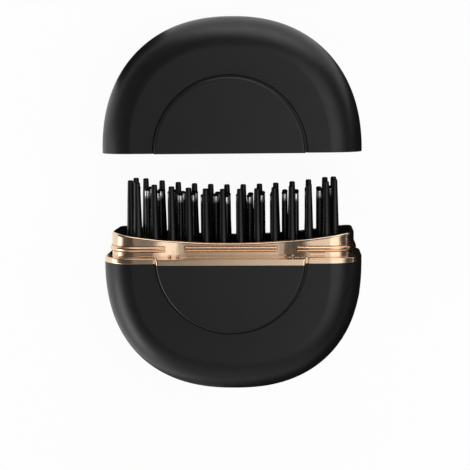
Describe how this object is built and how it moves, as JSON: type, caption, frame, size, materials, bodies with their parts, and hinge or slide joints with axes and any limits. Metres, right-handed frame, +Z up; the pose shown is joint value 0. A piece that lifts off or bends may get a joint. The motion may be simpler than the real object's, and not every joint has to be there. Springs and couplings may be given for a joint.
{
  "type": "hair straightening brush",
  "caption": "Pocket puck-shaped cordless heated hair brush with a domed pull-off cap, gilt collar, cool bristles around heated teeth, side button and charging socket.",
  "frame": {"origin": "centre of the bounding box's footprint on the surface that the brush lies on", "axes": "+Z up, square to the two flat discs that the brush lies on; +Y along the pull-off direction, from the body towards the cap; +X towards the end that carries the button"},
  "size_m": [0.088, 0.1268, 0.043],
  "materials": {
    "soft_black": "satin black soft-touch coating on a moulded shell",
    "panel_black": "smooth satin black panel",
    "rose_gold": "satin rose gold metallised plastic",
    "comb_black": "heat-resistant black nylon",
    "coated_aluminium": "dark ceramic coating",
    "tip_black": "black moulded anti-scald tips",
    "ceramic": "white ceramic heater, opaque",
    "spring_steel": "stamped steel clamp",
    "screw_steel": "zinc plated screws",
    "fuse_cream": "resin coated thermal fuse",
    "sensor_glass": "epoxy bead",
    "mica": "pressed mica insulation",
    "chassis_grey": "dark grey moulded chassis",
    "cell_wrap": null,
    "board_green": "circuit board with solder mask",
    "socket_steel": "drawn steel socket shell",
    "switch_grey": "push switch body",
    "diffuser": "frosted light guide",
    "button_black": "satin black button",
    "lead_red": "silicone covered leads",
    "lead_black": "silicone covered leads"
  },
  "bodies": {
    "body": {"body_shell": "soft_black", "body_front_panel": "panel_black", "body_back_panel": "panel_black", "collar": "rose_gold", "comb_frame": "comb_black", "heater_plate": "coated_aluminium", "tooth_tips": "tip_black", "ceramic_heater": "ceramic", "heater_clamp": "spring_steel", "heater_screws": "screw_steel", "thermal_fuse": "fuse_cream", "temperature_sensor": "sensor_glass", "insulation_tray": "mica", "battery_cradle": "chassis_grey", "battery_cells": "cell_wrap", "battery_cover": "chassis_grey", "chassis_screws": "screw_steel", "main_board": "board_green", "usb_socket": "socket_steel", "button_board": "board_green", "push_switch": "switch_grey", "button_bezel": "rose_gold", "light_ring": "diffuser", "heater_leads": "lead_red", "battery_leads": "lead_black"},
    "button": {"power_button": "button_black"},
    "cap": {"cap_shell": "soft_black", "cap_front_panel": "panel_black", "cap_back_panel": "panel_black"}
  },
  "joints": [
    {"name": "cap_slide", "type": "slide", "parent": "body", "child": "cap", "axis": [0, 1, 0], "range_m": [-0.035, 0]},
    {"name": "power_button_press", "type": "slide", "parent": "body", "child": "button", "axis": [-0.9599, 0.2802, 0], "range_m": [0, 0.0005], "stiffness_N_per_m": 600, "springref_m": -0.0005}
  ]
}
